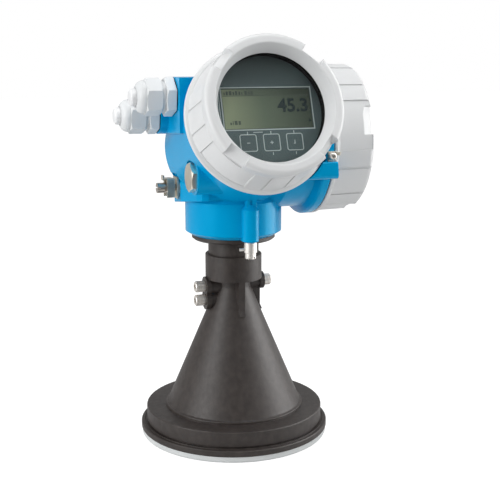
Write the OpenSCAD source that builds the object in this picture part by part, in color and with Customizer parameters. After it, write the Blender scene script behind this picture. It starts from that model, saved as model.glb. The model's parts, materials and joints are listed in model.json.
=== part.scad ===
// Radar level transmitter: a tilted display housing with a side terminal
// compartment, turning on the neck of a moulded horn antenna.
// Millimetres. The origin is on the horn's axis at the bottom face, +Z up.
// The display looks towards -Y and up, the terminal cover towards +X,
// and the cable glands towards -X.

/* [Antenna] */
// Radius of the white antenna window
window_r = 87.3; // [80:0.1:96]
// Thickness of the antenna window's rim
window_t = 5.5; // [4:0.1:8]
// Outer radius of the ring that holds the window
window_ring_r = 87.9; // [84:0.1:98]
// Outer radius of the horn's foot flange
foot_r = 82.6; // [78:0.1:86]
// Height of the foot flange's top face
foot_top = 26.5; // [22:0.5:30]
// Radius of the bead where the cone meets the foot flange
bead_r = 64.6; // [60:0.1:70]
// Outer radius of the horn's throat
throat_r = 15.6; // [14:0.1:18]
// Height at which the cone runs into the throat
throat_z = 140; // [130:1:142]
// Wall of the horn
horn_wall = 4; // [3:0.5:5]
// Outer radius of the collar on top of the horn
collar_r = 26.1; // [25:0.1:28]
// Height of the collar's underside
collar_z0 = 147.5; // [142:0.5:150]
// Height of the collar's top
collar_z1 = 171; // [165:1:174]
// Distance between the two clamp screws on the left
clamp_pitch = 12.9; // [12:0.1:15]

/* [Neck] */
// Radius of the housing's neck
neck_r = 44.2; // [42:0.1:48]
// Radius of the black disc under the neck
disc_r = 38.3; // [36:0.1:40]
// Height of the neck's lower face
neck_z = 189.5; // [188:0.5:192]
// Radius of the adapter tube between the horn and the neck
tube_r = 23.3; // [22:0.1:24]
// Radius of the bore that turns on the adapter's spigot
spigot_r = 31; // [29:0.1:33]

/* [Display side] */
// Upward tilt of the display's axis, degrees
tilt = 20.9; // [15:0.1:25]
// Height at which the display's axis crosses the horn's axis
display_z = 271.3; // [268:0.1:275]
// Outer radius of the display barrel
barrel_r = 59; // [58:0.1:60]
// Back end of the barrel along its axis
barrel_back = -26; // [-30:0.5:-24]
// Rear edge of the display cover along its axis
cover_back = 73.1; // [72:0.1:76]
// Length of the display cover
cover_len = 47.6; // [42:0.1:50]
// Depth of the sight glass behind the cover's front
sight_depth = 12.1; // [8:0.1:14]
// Radius of the display cover's rear lip
cover_lip_r = 64.5; // [63:0.1:66]
// Radius of the display cover's front ring
cover_ring_r = 59.3; // [58:0.1:62]
// Radius of the clear opening in the display cover
sight_r = 45.8; // [44:0.1:48]
// Width of the liquid crystal panel
lcd_w = 75.6; // [70:0.1:78]
// Height of the liquid crystal panel
lcd_h = 33.2; // [30:0.1:36]

/* [Terminal side] */
// Distance of the terminal axis in front of the horn's axis
terminal_y = -6; // [-8:0.5:-4]
// Height of the terminal axis
terminal_z = 275; // [273:0.5:277]
// Outer radius of the terminal compartment
terminal_tube_r = 61.7; // [60:0.1:63]
// Outer radius of the compartment's flange
terminal_flange_r = 68.7; // [67:0.1:70]
// Rear edge of the terminal cover along X
terminal_cover_x = 68.3; // [68:0.1:70]
// Length of the terminal cover
terminal_cover_len = 39; // [34:0.1:40]
// Radius of the terminal cover
terminal_cover_r = 67.3; // [65:0.1:68]

/* [Cable entries] */
// Left face of the entry block
entry_x = -62; // [-64:0.5:-60]
// Size of the hexagons on the gland bodies, across the corners
gland_hex = 34.2; // [30:0.1:36]
// Size of the hexagons on the cap nuts, across the corners
cap_hex = 33; // [30:0.1:34]
// Diameter of the plug in each gland
gland_plug_d = 15; // [12:0.5:16]

/* [Hidden] */
$fn = 96;

housing_blue = [0.0, 0.58, 0.84];
cover_grey = [0.86, 0.87, 0.88];
horn_black = [0.17, 0.15, 0.14];
steel = [0.74, 0.72, 0.68];
clear = 0.4;                         // gap between faces of different bodies
run = 0.05;                          // radial clearance of a running fit

// Heights on the horn
ring_top = 11.2;                     // top of the window ring's wide part
ring_step_r = window_ring_r - 3.2;
foot_z = 13.1;                       // underside of the foot flange, on the ring
bead_z = foot_top + 2.4;
cone_foot_r = bead_r - 3.2;
rib_t = 6;                           // webs under the horn's collar
cone_slope = (cone_foot_r - throat_r) / (throat_z - bead_z - 3);
seal_r = 72;
adapter_z = neck_z - 4.6;            // underside of the black disc
socket_z = collar_z1 - 22;           // floor of the collar's socket
guide_r = 9;
guide_wall = 2.2;
lug_z = throat_z + 0.8;              // upper clamp screw on the left
lug_x = 28.1;                        // face under the clamp screws' heads
lug_r = 9;
right_lug_z = 143;
right_lug_x = 28.5;

// Display side, measured along the display axis
bore_r = 51;
bore_floor = barrel_back + 9;
nose_r = 56.6;
nose_end = 86;
shoulder = cover_back - 0.6;         // face of the barrel behind the cover
cover_front = cover_back + cover_len;
sight_t = cover_front - sight_depth;         // front face of the sight glass
glass_t = 5;
panel_t = sight_t - 10.6;            // front face of the display module
panel_r = 49.4;
surround_r = 46.4;                   // black ring round the visible panel
lcd_y = 2.2;

// Terminal side, measured along X
terminal_nose_r = 58.4;
terminal_bore_r = 52.5;
terminal_floor = 55;
terminal_nose_end = 82;
terminal_shoulder = terminal_cover_x - 0.8;
terminal_end = terminal_cover_x + terminal_cover_len;

// Cable entries: [seat x, y, z]
upper_entry = [entry_x, -27, 316];
lower_entry = [entry_x - 7, 6, 298.4];
entry_z0 = 281.8;                    // bottom of the entry block at the back
entry_z1 = 332.6;
entry_front = -46;
entry_depth = 10;                    // of the upper threaded bore
entry_r = 16.6;                      // round end of the entry block
duct_y = 36;                         // wire duct behind the barrel
duct_z = 300;
duct_r = 9.5;
channel = [-52, 306];                // x and z of the way from the entries to the duct
thread_r = 12.4;
hex_t = 8.2;                         // thickness of a gland body's hexagon
cap_x = 12.4;                        // start of the cap nut from the seat
cap_thread_r = 11.2;                 // thread that carries the cap nut
cap_len = 13.5;

// Ground terminal and blanking plug on the left pad
pad_x = -50.5;
ground_at = [pad_x, 6, 233.4];
plug_at = [pad_x, -46, 248.6];

// Lock screw under the neck, and the terminal cover's clamp
lock_at = [1.1, -45.4];
lock_r = 7.4;
neck_top = 222;
pad_z0 = 220.4;                      // bottom of the left pad at the ground terminal
pad_h = 28;
terminal_turn = 117.5;                // turns the terminal cover's pattern to where it is screwed home
clamp_at = [61.6, -79.4, 266.4];       // seat of the clamp on its post
clamp_hole_r = 1.9;                  // bore of the clamp's screw
clamp_t = 2.4;                       // thickness of the claw
bar_front = -88;                     // front face of the bar under the clamp
bar_top = 262;
bar_h = 15;
bar_end = 67.2;                      // right end of the bar and its post
grip_turn = 44;                      // first grip recess, from the local x axis
grip_slant = 7;                      // turn of a recess towards its step
land_turn = 48;                      // middle of the shallow sector behind it
clamp_count = 8;                     // wire clamps on the terminal block
clamp_step = 9;
clamp_screw_r = 2.9;                 // screws of the wire clamps
clamp_screw_y = -5;
clamp_screw_z = 8;                   // their lower ends, from the compartment's floor

function arc(cx, cy, r, a0, a1, n = 6) =
    [for (i = [0:n]) [cx + r * cos(a0 + (a1 - a0) * i / n), cy + r * sin(a0 + (a1 - a0) * i / n)]];

// Local z runs out of the display, local x to the right, local y up the panel
module on_display_axis() {
    translate([0, 0, display_z]) rotate([90 - tilt, 0, 0]) children();
}
// Local z runs out of the terminal compartment, local x back, local y up
module on_terminal_axis() {
    translate([0, terminal_y, terminal_z]) rotate([90, 0, 90]) children();
}
// Local z points left out of a seat on the housing's left side
module facing_left(at) {
    translate(at) rotate([90, 0, -90]) children();
}
module ring(r_out, r_in, z0, z1) {
    translate([0, 0, z0]) difference() {
        cylinder(r = r_out, h = z1 - z0);
        translate([0, 0, -1]) cylinder(r = r_in, h = z1 - z0 + 2);
    }
}
module o_ring(r, section, z) {
    translate([0, 0, z]) rotate_extrude() translate([r, 0]) circle(r = section, $fn = 24);
}
module hexagon(across_corners, h) {
    rotate(21) cylinder(r = across_corners / 2, h = h, $fn = 6);
}
// Hexagon with the turned chamfer of a nut at its outer end
module chamfered_hexagon(across_corners, h) {
    flat_r = across_corners / 2 * cos(30);
    intersection() {
        hexagon(across_corners, h);
        rotate_extrude() polygon([
            [0, 0], [across_corners, 0], [across_corners, h - 3],
            [across_corners / 2 + 0.6, h - 1.6], [flat_r - 0.2, h], [0, h]]);
    }
}

// ---- Antenna ----
module antenna_window() {
    color("whitesmoke") rotate_extrude() polygon(concat(
        [[0, 0], [window_r - 2, 0]],
        arc(window_r - 2, 2, 2, -90, 0, 5),
        [[window_r, window_t], [64, window_t], [60, window_t + 9], [40, window_t + 14],
         [0, window_t + 20]]));
}
module window_ring() {
    color(horn_black) rotate_extrude() polygon([
        [66, window_t], [window_ring_r - 0.8, window_t], [window_ring_r, window_t + 0.8],
        [window_ring_r, ring_top - 0.6], [window_ring_r - 0.6, ring_top], [ring_step_r, ring_top],
        [ring_step_r, ring_top + 1], [ring_step_r - 0.6, foot_z - 1.4],
        [foot_r - 1.2, foot_z - 1.4], [foot_r - 1.2, foot_z], [66, foot_z]]);
}
module window_seal() {
    color("dimgray") o_ring(seal_r, 1.8, foot_z + 1.8);
}
function cone_r(z) = cone_foot_r - (z - bead_z - 3) * cone_slope;
module horn_shell() {
    rotate_extrude() polygon(concat(
        [[66, foot_z], [foot_r, foot_z], [foot_r, foot_top - 1]],
        arc(foot_r - 1, foot_top - 1, 1, 0, 90, 3),
        [[bead_r, foot_top], [bead_r, bead_z - 0.8]],
        arc(bead_r - 0.8, bead_z - 0.8, 0.8, 0, 90, 2),
        [[cone_foot_r + 1.1, bead_z + 0.7], [cone_foot_r, bead_z + 3],
         [throat_r, throat_z], [throat_r, collar_z0], [collar_r, collar_z0],
         [collar_r, collar_z1 - 0.8], [collar_r - 0.8, collar_z1], [tube_r + 0.3, collar_z1],
         [tube_r + 0.3, socket_z], [guide_r + guide_wall, socket_z],
         [guide_r + guide_wall, throat_z - 6], [cone_foot_r - horn_wall, foot_z + 6],
         [66, foot_z + 6]]));
}
module horn_rib(angle, r_out) {
    // Upright web under the collar that runs down into the cone and ends in a low step
    foot = throat_z - (r_out - throat_r) / cone_slope;
    rotate([90, 0, angle]) translate([0, 0, -rib_t / 2]) linear_extrude(rib_t) polygon([
        [throat_r - 2, collar_z0 + 1], [r_out, collar_z0 + 1], [r_out, foot + 3],
        [r_out + 2.2, foot - 2], [cone_r(foot - 2) - 1.5, foot - 2], [throat_r - 2, throat_z - 2]]);
}
// Round boss that carries a clamp screw, pointing along +X before it is turned,
// with a wider plate at its end
module clamp_lug(z, x_face, r) {
    translate([throat_r - 4, 0, z]) rotate([0, 90, 0]) cylinder(r = r - 1.2, h = x_face - throat_r + 3);
    translate([x_face - 4.6, 0, z]) rotate([0, 90, 0]) cylinder(r = r, h = 4.6);
}
module horn() {
    color(horn_black) difference() {
        union() {
            horn_shell();
            for (angle = [0, 90, 270]) horn_rib(angle, collar_r - 1);
            rotate(180) {
                clamp_lug(lug_z, lug_x, lug_r);
                clamp_lug(lug_z - clamp_pitch, lug_x, lug_r);
            }
            clamp_lug(right_lug_z, right_lug_x, lug_r - 1);
        }
        // seal groove on the foot's underside
        translate([0, 0, foot_z - 1]) ring(seal_r + 2, seal_r - 2, 0, 4.7);
        // keep the horn's throat open past the lugs
        translate([0, 0, throat_z - 30]) cylinder(r = guide_r + guide_wall, h = socket_z - throat_z + 31);
        translate([0, 0, socket_z]) cylinder(r = tube_r + 0.3, h = 40);
        cone_cavity();
        for (z = [lug_z, lug_z - clamp_pitch])
            translate([-lug_x - 1, 0, z]) rotate([0, 90, 0]) cylinder(r = 2.6, h = 12);
        translate([right_lug_x - 11, 0, right_lug_z]) rotate([0, 90, 0]) cylinder(r = 2.6, h = 12);
    }
}
module cone_cavity() {
    rotate_extrude() polygon([
        [0, foot_z + 6], [cone_foot_r - horn_wall, foot_z + 6],
        [guide_r + guide_wall, throat_z - 6], [0, throat_z - 6]]);
}
// Socket-head cap screw with its head's underside at the origin, head along +z
module cap_screw(head_r, head_h, shank_r, shank_len, socket_af) {
    difference() {
        union() {
            rotate_extrude() polygon([
                [0, 0], [head_r, 0], [head_r, head_h - 0.6], [head_r - 0.6, head_h], [0, head_h]]);
            translate([0, 0, -shank_len]) cylinder(r = shank_r, h = shank_len + 0.1);
        }
        translate([0, 0, head_h * 0.45]) cylinder(r = socket_af / 2 / cos(30), h = head_h, $fn = 6);
    }
}
module horn_screws() {
    color(steel) {
        for (z = [lug_z, lug_z - clamp_pitch])
            facing_left([-lug_x, 0, z]) cap_screw(4.9, 9.4, 2.6, 9, 5);
        translate([right_lug_x, 0, right_lug_z]) rotate([90, 0, 90])
            cap_screw(5, 7.4, 2.6, 9, 5);
    }
}
module waveguide() {
    color("silver") rotate_extrude() polygon([
        [guide_r, throat_z - 4], [guide_r + guide_wall, throat_z - 4],
        [guide_r + guide_wall, neck_z + 10], [guide_r + 5, neck_z + 10], [guide_r + 5, neck_z + 14],
        [guide_r, neck_z + 14]]);
}
module neck_adapter() {
    color(horn_black) rotate_extrude() polygon([
        [guide_r + guide_wall, socket_z + 2], [tube_r - 1, socket_z + 2], [tube_r, socket_z + 3],
        [tube_r, adapter_z - 2], [tube_r + 2, adapter_z], [disc_r - 2, adapter_z],
        [disc_r, adapter_z + 1.6], [disc_r, neck_z - 0.3],
        [spigot_r - run, neck_z - 0.3], [spigot_r - run, neck_z + 9],
        [spigot_r - 2.4, neck_z + 9], [spigot_r - 2.4, neck_z + 12.5], [spigot_r - run, neck_z + 12.5],
        [spigot_r - run, neck_z + 17], [guide_r + 7, neck_z + 17], [guide_r + 7, neck_z + 10],
        [guide_r + guide_wall, neck_z + 10]]);
}
module neck_seal() {
    color("dimgray") ring(spigot_r - 0.5, spigot_r - 2.4, neck_z + 9.4, neck_z + 12.1);
}

// ---- Housing ----
module barrel() {
    on_display_axis() rotate_extrude() polygon(concat(
        [[0, barrel_back], [barrel_r - 8, barrel_back]],
        arc(barrel_r - 8, barrel_back + 8, 8, -90, 0, 6),
        [[barrel_r, shoulder - 9], [barrel_r + 2.6, shoulder - 6], [barrel_r + 2.6, shoulder],
         [nose_r - 2.6, shoulder], [nose_r - 2.6, shoulder + 3.6], [nose_r, shoulder + 3.6],
         [nose_r, nose_end - 0.8], [nose_r - 0.8, nose_end], [0, nose_end]]));
}
module terminal_tube() {
    on_terminal_axis() rotate_extrude() polygon([
        [0, 0], [terminal_tube_r - 12, 0], [terminal_tube_r, 32],
        [terminal_tube_r, terminal_shoulder - 11],
        [terminal_flange_r - 1.5, terminal_shoulder - 8.5], [terminal_flange_r, terminal_shoulder - 7],
        [terminal_flange_r, terminal_shoulder - 0.8], [terminal_flange_r - 0.8, terminal_shoulder],
        [terminal_nose_r - 2.8, terminal_shoulder], [terminal_nose_r - 2.8, terminal_shoulder + 3.8],
        [terminal_nose_r, terminal_shoulder + 3.8], [terminal_nose_r, terminal_nose_end - 0.8],
        [terminal_nose_r - 0.8, terminal_nose_end], [0, terminal_nose_end]]);
}
module entry_block() {
    // Block round the two cable entries
    translate([entry_x, 0, 0]) rotate([90, 0, 90]) linear_extrude(84) polygon([
        [entry_front, entry_z0 + 4.4], [entry_front, entry_z1], [upper_entry[1] + 4, entry_z1],
        [lower_entry[1] + 13.4, lower_entry[2] + 9.8], [lower_entry[1] + 12, entry_z0 + 5],
        [lower_entry[1], entry_z0 + 0.3]]);
    facing_left([entry_x + 84, lower_entry[1], lower_entry[2]])
        cylinder(r = entry_r, h = entry_x + 84 - lower_entry[0]);
    // duct that leads the wires behind the barrel to the terminals
    facing_left([terminal_shoulder - 12, duct_y, duct_z])
        cylinder(r = duct_r, h = terminal_shoulder - 12 - channel[0] + 7);
    translate([channel[0] - 7, 8, duct_z - duct_r])
        cube([16, duct_y - 8, channel[1] + 7.5 - duct_z + duct_r]);
}
module left_pad() {
    // Pad cast on the barrel for the ground terminal. Its underside rises forwards,
    // and its face stands a little proud of the machined seats.
    translate([0, 2.6, pad_z0]) rotate([-8, 0, 0]) linear_extrude(pad_h) polygon([
        [pad_x - 0.3, 15], [pad_x - 0.3, -6], [pad_x + 1.2, -11.5], [pad_x + 4, -21], [pad_x + 7.5, -32],
        [pad_x + 10.5, -37.5], [pad_x + 16, -40], [pad_x + 36, -40], [pad_x + 36, 15]]);
    // boss of the blanking plug
    facing_left([pad_x + 26, plug_at[1], plug_at[2]]) cylinder(r = 15.2, h = 26);
}
module neck() {
    rotate_extrude() polygon([
        [0, neck_z], [disc_r + 0.3, neck_z], [disc_r + 1.6, neck_z + 0.9],
        [neck_r, neck_z + 3.6], [neck_r, neck_top], [neck_r - 14, neck_top + 22], [0, neck_top + 22]]);
    // vertical boss for the lock screw, with a web back to the neck
    boss_h = 28;
    web_w = 9.2;                     // web above the boss, with a shallow groove
    translate([lock_at[0], lock_at[1], neck_z + 0.2]) {
        cylinder(r = lock_r, h = boss_h);
        translate([0, 0, boss_h]) cylinder(r1 = lock_r, r2 = 4.2, h = 5);
        translate([-lock_r, 0, 0]) cube([2 * lock_r, 12, boss_h]);
        difference() {
            translate([-web_w / 2, -3.6, boss_h - 2.2]) cube([web_w, 12, 18]);
            translate([-1.4, -4.6, boss_h - 3]) cube([1.6, 2, 20]);
        }
    }
}
module clamp_boss() {
    // Bar cast on the compartment's flange, and the post on it for the terminal cover's clamp
    bar_start = 36;
    bar_depth = 22;
    corner_r = 5;
    post_x = 57;
    post = [bar_end - post_x, 14, 11];
    difference() {
        union() {
            translate([bar_start, 0, 0]) rotate([90, 0, 90]) linear_extrude(bar_end - bar_start)
                polygon(concat(
                    [[bar_front + bar_depth, bar_top], [bar_front + 1, bar_top], [bar_front, bar_top - 1]],
                    arc(bar_front + corner_r, bar_top - bar_h + corner_r, corner_r, 180, 270, 5),
                    [[bar_front + bar_depth, bar_top - bar_h]]));
            translate([post_x, clamp_at[1], bar_top - 1]) cube(post);
        }
        // its end leans back from the cover's lip
        translate([bar_end - 0.8, bar_front - 1, bar_top - bar_h - 1]) rotate([0, -4, 0])
            cube([12, 30, 30]);
        on_terminal_axis() translate([0, 0, terminal_shoulder]) cylinder(r = terminal_flange_r + 2.5, h = 30);
    }
}
module housing() {
    color(housing_blue) difference() {
        union() {
            barrel();
            neck();
            difference() {
                union() {
                    terminal_tube();
                    entry_block();
                    left_pad();
                    clamp_boss();
                }
                // room for the display cover to turn
                on_display_axis() translate([0, 0, shoulder]) cylinder(r = cover_lip_r + 0.9, h = 60);
            }
        }
        // electronics compartment
        on_display_axis() translate([0, 0, bore_floor]) cylinder(r = bore_r, h = 200);
        // terminal compartment
        on_terminal_axis() translate([0, 0, terminal_floor]) cylinder(r = terminal_bore_r, h = 100);
        // turning seat on the adapter, and the way up into the electronics
        translate([0, 0, neck_z - 1]) cylinder(r = spigot_r, h = 19);
        translate([0, 0, neck_z + 17]) cylinder(r = spigot_r - 3, h = 30);
        // cable entries and the way behind the barrel to the terminals
        for (entry = [upper_entry, lower_entry])
            facing_left([entry_x + entry_depth, entry[1], entry[2]]) cylinder(r = thread_r, h = 60);
        facing_left([terminal_floor + 1, duct_y, duct_z])
            cylinder(r = 5, h = terminal_floor + 1 - channel[0]);
        translate([channel[0], upper_entry[1], channel[1]]) rotate([-90, 0, 0])
            cylinder(r = 4, h = duct_y - upper_entry[1] + 3);
        // blanking plug and ground terminal, each on its own flat seat
        facing_left(plug_at) cylinder(r = 14.4, h = 9);
        facing_left(ground_at) translate([-8.4, -11, 0]) cube([16.8, 24, 12]);
        facing_left([plug_at[0] + 14, plug_at[1], plug_at[2]]) cylinder(r = 9.9, h = 20);
        facing_left([ground_at[0] + 12, ground_at[1], ground_at[2]]) cylinder(r = 3.1, h = 20);
        // lock screw
        translate([lock_at[0], lock_at[1], neck_z - 1]) cylinder(r = 4.1, h = 21);
        // cover clamp screw
        translate(clamp_at) rotate([-90, 0, 0]) cylinder(r = clamp_hole_r, h = 12, center = true);
    }
}
module neck_lock_screw() {
    // Cylinder screw with a cross pin for the seal wire, its shank up in the boss
    color(steel) translate([lock_at[0], lock_at[1], neck_z]) {
        difference() {
            rotate_extrude() polygon([
                [0, -15.6], [4.2, -15.6], [4.8, -15], [4.8, -10.4], [5.6, -9.8], [5.6, -0.9],
                [5.1, -clear], [4, -clear], [4, 18], [0, 18]]);
            for (turn = [0, 60, 120])
                rotate(turn) translate([-7, -0.7, -16]) cube([14, 1.4, 2.6]);
        }
        translate([-10, 0, -7]) rotate([0, 90, 0]) cylinder(r = 1.3, h = 5);
    }
}

// ---- Electronics ----
module hf_module() {
    color("silver") rotate_extrude() polygon([
        [0, neck_z + 14.2], [15.8, neck_z + 14.2], [15.8, neck_z + 17], [20, neck_z + 17],
        [20, neck_z + 24.8], [19.2, neck_z + 25.6], [0, neck_z + 25.6]]);
}
module electronics_module() {
    color("dimgray") on_display_axis() difference() {
        rotate_extrude() polygon([
            [0, bore_floor + 5], [41, bore_floor + 5], [44, bore_floor + 8], [44, 58], [41, 61], [0, 61]]);
        // grip pockets at the sides of the potted module
        for (turn = [0, 90, 180, 270])
            rotate(turn + 45) translate([44, 0, 40]) cylinder(r = 7, h = 30);
    }
}
module display_holder() {
    color("whitesmoke") on_display_axis() {
        difference() {
            translate([0, 0, 61]) cylinder(r = 46, h = 4);
            translate([0, 0, 60]) cylinder(r = 14, h = 6);
        }
        for (turn = [45:90:315])
            rotate(turn) translate([36, 0, 64.9]) cylinder(r = 5, h = panel_t - 14 - 64.9);
    }
}
module display_module() {
    color("darkslategray") on_display_axis() difference() {
        union() {
            translate([0, 0, panel_t - 6]) cylinder(r = panel_r, h = 6);
            translate([-43, -24, panel_t - 14]) cube([86, 52, 9]);
            for (turn = [45:90:315])
                rotate(turn) translate([36, 0, panel_t - 14]) cylinder(r = 6, h = 9);
        }
        translate([-lcd_w / 2 - 0.6, lcd_y - lcd_h / 2 - 0.6, panel_t - 1.4])
            cube([lcd_w + 1.2, lcd_h + 1.2, 3]);
    }
}
module lcd_panel() {
    color("darkolivegreen") on_display_axis()
        translate([-lcd_w / 2, lcd_y - lcd_h / 2, panel_t - 1.4]) cube([lcd_w, lcd_h, 0.9]);
}

// ---- Covers ----
module grip_recesses(r_face, z_face, r_skirt, z_skirt, to_step, to_runout) {
    // Slanted cuts through the front ring, from its face down to the skirt.
    // Each is turned a little, so that it runs out at one end and stops at a
    // step at the other.
    past = 20;
    for (k = [0:3])
        rotate(grip_turn + 90 * k) translate([r_face, 0, 0]) rotate([90, 0, grip_slant])
            translate([-r_face, 0, -to_step]) linear_extrude(to_step + to_runout) polygon([
                [r_face, z_face + 0.2], [r_skirt, z_skirt], [r_skirt + past, z_skirt],
                [r_skirt + past, z_face + 9], [r_face, z_face + 9]]);
}
module cover_lands(r0, r1, z0, z1, half_sector) {
    // Grooves and shallow sectors round the skirt, the same in each quarter
    for (k = [0:3]) rotate(land_turn + 90 * k) {
        rotate(-half_sector) rotate_extrude(angle = 2 * half_sector) polygon([
            [r0 - 0.9, z0], [r0 + 9, z0], [r1 + 9, z1], [r1 - 0.9, z1]]);
        for (step = [half_sector + 14, 76 - half_sector])
            rotate(step - 0.7) rotate_extrude(angle = 1.4) polygon([
                [r0 - 0.7, z0], [r0 + 9, z0], [r1 + 9, z1], [r1 - 0.7, z1]]);
    }
}
module display_cover() {
    z0 = cover_back;
    z1 = cover_front;
    ring_z = z1 - 13;
    skirt_z = z0 + 4.2;
    color(cover_grey) on_display_axis() difference() {
        rotate_extrude() polygon(concat(
            [[nose_r + 3.2, z0], [cover_lip_r - 0.6, z0], [cover_lip_r, z0 + 0.6],
             [cover_lip_r, z0 + 2.6], [cover_lip_r - 0.8, z0 + 3.4], [61.6, skirt_z],
             [58.6, ring_z - 1.4], [58.1, ring_z - 0.7], [58.6, ring_z]],
            arc(cover_ring_r - 4.2, z1 - 4.2, 4.2, 10, 90, 6),
            [[51.2, z1], [50.4, z1 - 0.4], [sight_r + 0.4, sight_t + 1], [sight_r, sight_t + 0.6],
             [sight_r, sight_t], [52, sight_t], [52, panel_t + 0.6], [54, panel_t - 2],
             [54, z0 + 16], [nose_r + clear, z0 + 15], [nose_r + clear, z0 + 4.6],
             [nose_r + 3.2, z0 + 4]]));
        cover_lands(61.6, 58.6, skirt_z + 0.8, ring_z - 1, 21.5);
        grip_recesses(51.5, z1 - 0.9, 57.2, ring_z - 0.7, 12.4, 6.2);
    }
}
module sight_glass() {
    color("lightcyan", 0.35) on_display_axis() translate([0, 0, sight_t - glass_t])
        cylinder(r = 51.8, h = glass_t);
}
module glass_retainer() {
    color("black") on_display_axis() rotate_extrude() polygon([
        [surround_r, panel_t + 0.5], [51.8, panel_t + 0.5], [51.8, sight_t - glass_t],
        [46.9, sight_t - glass_t], [46.9, panel_t + 1.6], [surround_r, panel_t + 1.6]]);
}
module display_cover_seal() {
    color("dimgray") on_display_axis() o_ring(nose_r - 0.9, 1.5, cover_back + 1.4);
}
module terminal_cover() {
    z0 = terminal_cover_x;
    z1 = terminal_cover_x + terminal_cover_len;
    r = terminal_cover_r;
    lip_r = terminal_flange_r + 0.1;
    color(cover_grey) on_terminal_axis() difference() {
        rotate_extrude() polygon(concat(
            [[terminal_nose_r + 3.2, z0], [lip_r - 0.6, z0], [lip_r, z0 + 0.6],
             [lip_r, z0 + 2.6], [lip_r - 0.7, z0 + 3.4], [r + 0.5, z0 + 4]],
            arc(r - 5, z1 - 5, 5, 4, 80, 6),
            [[50, z1 + 0.2], [47, z1 - 1.4], [0, z1 - 1.4],
             [0, z1 - 6.4], [terminal_nose_r - 6, z1 - 6.4], [terminal_nose_r - 2, z1 - 9],
             [terminal_nose_r - 2, z0 + 16], [terminal_nose_r + clear, z0 + 15],
             [terminal_nose_r + clear, z0 + 4.6], [terminal_nose_r + 3.2, z0 + 4]]));
        rotate(terminal_turn) {
            cover_lands(r + 0.5, r, z0 + 4.8, z1 - 2.6, 19);
            grip_recesses(r - 9, z1, r - 1.6, z1 - 10.4, 12.5, 12.5);
        }
    }
}
module terminal_cover_seal() {
    color("dimgray") on_terminal_axis() o_ring(terminal_nose_r - 1, 1.5, terminal_cover_x + 1.5);
}

// ---- Terminals ----
function clamp_y(i) = (i - (clamp_count - 1) / 2) * clamp_step;
module terminal_block() {
    plate_r = 43;
    plate_t = 5;
    strip = [78, 24, 13];            // strip with the wire clamps
    entry_w = 5.6;
    color("dimgray") on_terminal_axis() translate([0, 0, terminal_floor]) difference() {
        union() {
            cylinder(r = plate_r, h = plate_t);
            translate([-strip[0] / 2, -14, plate_t - 0.1]) cube(strip);
        }
        for (i = [0:clamp_count - 1]) {
            translate([clamp_y(i), clamp_screw_y, clamp_screw_z])
                cylinder(r = clamp_screw_r + 0.1, h = 20);
            // wire entry under each clamp
            translate([clamp_y(i) - entry_w / 2, -16, clamp_screw_z]) cube([entry_w, 6, 6]);
        }
    }
}
module terminal_screws() {
    screw_h = 8;
    slot_w = 1;
    color(steel) on_terminal_axis() for (i = [0:clamp_count - 1])
        translate([clamp_y(i), clamp_screw_y, terminal_floor + clamp_screw_z]) difference() {
            cylinder(r = clamp_screw_r, h = screw_h, $fn = 32);
            translate([-clamp_screw_r - 0.1, -slot_w / 2, screw_h - slot_w])
                cube([2 * clamp_screw_r + 0.2, slot_w, 2]);
        }
}

// ---- Cable glands ----
module gland_body(at) {
    facing_left(at) difference() {
        union() {
            translate([0, 0, 1]) chamfered_hexagon(gland_hex, hex_t);
            translate([0, 0, -9.4]) cylinder(r = thread_r, h = 12);
            translate([0, 0, 1]) cylinder(r = 13.4, h = cap_x - clear - 1);
            cylinder(r = cap_thread_r, h = cap_x + 8);
        }
        translate([0, 0, -20]) cylinder(r = 8.2, h = 60);
    }
}
module gland_nut(at) {
    facing_left(at) difference() {
        union() {
            translate([0, 0, cap_x]) intersection() {
                hexagon(cap_hex, cap_len);
                rotate_extrude() polygon([
                    [0, 0], [cap_hex / 2 - 1.8, 0], [cap_hex / 2 + 0.2, 1.4],
                    [cap_hex / 2 + 0.2, cap_len - 1.4], [cap_hex / 2 - 1.8, cap_len], [0, cap_len]]);
            }
            translate([0, 0, cap_x + cap_len - 1]) rotate_extrude() polygon(concat(
                [[0, 0], [14, 0], [14, 1.5]],
                arc(7.2, 1.8, 6.9, 0, 80, 6),
                [[0, 8.9 + 0.8]]));
        }
        translate([0, 0, cap_x - 1]) cylinder(r = cap_thread_r + 0.3, h = 9.4);
        translate([0, 0, cap_x + 8]) cylinder(r = 10.6, h = 10.4);
        translate([0, 0, cap_x + 9]) cylinder(r = 8.6, h = 30);
    }
}
module gland_seal(at) {
    // Rubber insert that the cap nut squeezes on the plug
    facing_left(at) ring(10.2, gland_plug_d / 2 + 0.01, cap_x + 8.2, cap_x + 18.2);
}
module gland_plug(at) {
    plug_end = cap_x + cap_len + 12.8;
    facing_left(at) rotate_extrude() polygon(concat(
        [[0, cap_x - 4], [gland_plug_d / 2, cap_x - 4], [gland_plug_d / 2, plug_end - 2.6]],
        arc(gland_plug_d / 2 - 2.6, plug_end - 2.6, 2.6, 0, 90, 5),
        [[0, plug_end]]));
}
module gland_upper() { color(cover_grey) gland_body(upper_entry); }
module gland_lower() { color(cover_grey) gland_body(lower_entry); }
module gland_nut_upper() { color(cover_grey) gland_nut(upper_entry); }
module gland_nut_lower() { color(cover_grey) gland_nut(lower_entry); }
module gland_seal_upper() { color("dimgray") gland_seal(upper_entry); }
module gland_seal_lower() { color("dimgray") gland_seal(lower_entry); }
module gland_plug_upper() { color("white") gland_plug(upper_entry); }
module gland_plug_lower() { color("white") gland_plug(lower_entry); }
module gland_washers() {
    color("dimgray") for (entry = [upper_entry, lower_entry])
        facing_left(entry) ring(14.6, thread_r, 0, 1);
}

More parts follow.
